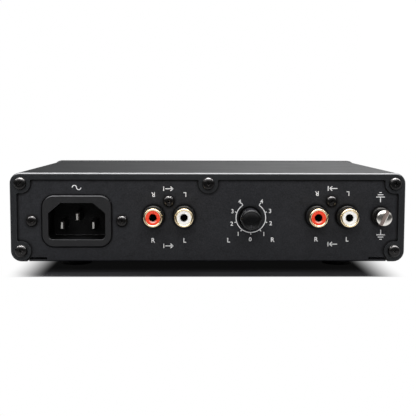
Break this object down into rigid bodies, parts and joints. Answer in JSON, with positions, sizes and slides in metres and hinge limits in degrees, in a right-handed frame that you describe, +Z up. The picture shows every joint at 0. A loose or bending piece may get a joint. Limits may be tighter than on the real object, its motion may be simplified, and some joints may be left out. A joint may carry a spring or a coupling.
{
  "type": "phono preamp",
  "caption": "Slim black phono preamp with mains inlet, phono sockets, balance knob and ground screw on its rear wall, and a power button on the front.",
  "frame": {"origin": "on the floor, under the middle of the whole object's box", "axes": "+X from the mains inlet to the ground terminal, +Y from the rear wall to the front panel, +Z up"},
  "size_m": [0.1764, 0.146, 0.045],
  "materials": {
    "case_paint": "fine textured black powder coat",
    "chassis_paint": "fine textured black powder coat",
    "front_anodised": "black anodised, finely brushed",
    "black_screw": "black zinc, slightly worn on the edges",
    "rubber": "matt",
    "black_moulding": "fine spark-eroded mould texture",
    "knob_plastic": "satin gloss",
    "red_insulator": "moulded, semi-gloss",
    "white_insulator": "moulded, semi-gloss",
    "gold": "polished gold plating",
    "tin": "tinned",
    "nickel": "nickel plating, turned",
    "zinc": "zinc plated",
    "lamp": "clear diffused",
    "board": "solder-masked glass epoxy",
    "chip": "moulded epoxy",
    "film": "dipped film capacitors",
    "can": "sleeved aluminium can",
    "ferrite": "ferrite and taped bobbin",
    "fuse": "glass tube with plated caps",
    "connector": "natural nylon",
    "mains_insulation": "brown and blue insulation",
    "earth_insulation": "green and yellow insulation",
    "lead_insulation": "black insulation",
    "ribbon": "grey ribbon"
  },
  "bodies": {
    "case": {"top_cover": "case_paint", "base_chassis": "chassis_paint", "front_panel": "front_anodised", "cover_screws": "black_screw", "front_panel_screws": "black_screw", "foot_screws": "zinc", "inlet_body": "black_moulding", "inlet_line_pin": "tin", "inlet_neutral_pin": "tin", "inlet_earth_pin": "tin", "inlet_screws": "black_screw", "inlet_nuts": "zinc", "balance_pot": "zinc", "ground_collar": "black_moulding", "ground_insert": "zinc", "ground_nut": "zinc", "ground_lead": "lead_insulation", "switch_body": "black_moulding", "power_lamp": "lamp", "front_board": "board", "main_board": "board", "supply_board": "board", "board_spacers": "zinc", "board_screws": "zinc", "amplifier_chips": "chip", "film_capacitors": "film", "can_capacitors": "can", "bulk_capacitor": "can", "supply_transformer": "ferrite", "mains_fuse": "fuse", "lead_connectors": "connector", "mains_leads": "mains_insulation", "earth_lead": "earth_insulation", "earth_stud": "zinc", "supply_leads": "lead_insulation", "front_ribbon": "ribbon", "foot_rear_left": "rubber", "foot_rear_right": "rubber", "foot_front_left": "rubber", "foot_front_right": "rubber", "output_jack_housing": "black_moulding", "output_contacts": "tin", "output_jack_screw": "black_screw", "output_shell_right": "gold", "output_shell_left": "gold", "output_insulator_right": "red_insulator", "output_insulator_left": "white_insulator", "input_jack_housing": "black_moulding", "input_contacts": "tin", "input_jack_screw": "black_screw", "input_shell_right": "gold", "input_shell_left": "gold", "input_insulator_right": "red_insulator", "input_insulator_left": "white_insulator"},
    "balance": {"balance_shaft": "zinc", "balance_knob": "knob_plastic"},
    "ground_travel": {"ground_washer": "nickel"},
    "ground_thumbscrew": {"ground_screw": "nickel"},
    "button": {"power_button": "black_moulding", "switch_plunger": "black_moulding"}
  },
  "joints": [
    {"name": "balance_turn", "type": "hinge", "parent": "case", "child": "balance", "pos_m": [0.0186, -0.062, 0.0247], "axis": [0, -1, 0], "range_deg": [-147, 147]},
    {"name": "ground_lift", "type": "slide", "parent": "case", "child": "ground_travel", "axis": [0, -1, 0], "range_m": [0, 0.0035]},
    {"name": "ground_turn", "type": "hinge", "parent": "ground_travel", "child": "ground_thumbscrew", "pos_m": [0.077, -0.062, 0.0254], "axis": [0, -1, 0], "range_deg": [-40, 1840]},
    {"name": "power_press", "type": "slide", "parent": "case", "child": "button", "axis": [0, -1, 0], "range_m": [0, 0.0008], "stiffness_N_per_m": 1500}
  ],
  "couplings": [
    {"joint": "ground_turn", "follows": "ground_lift", "rad_per_m": 8976}
  ]
}
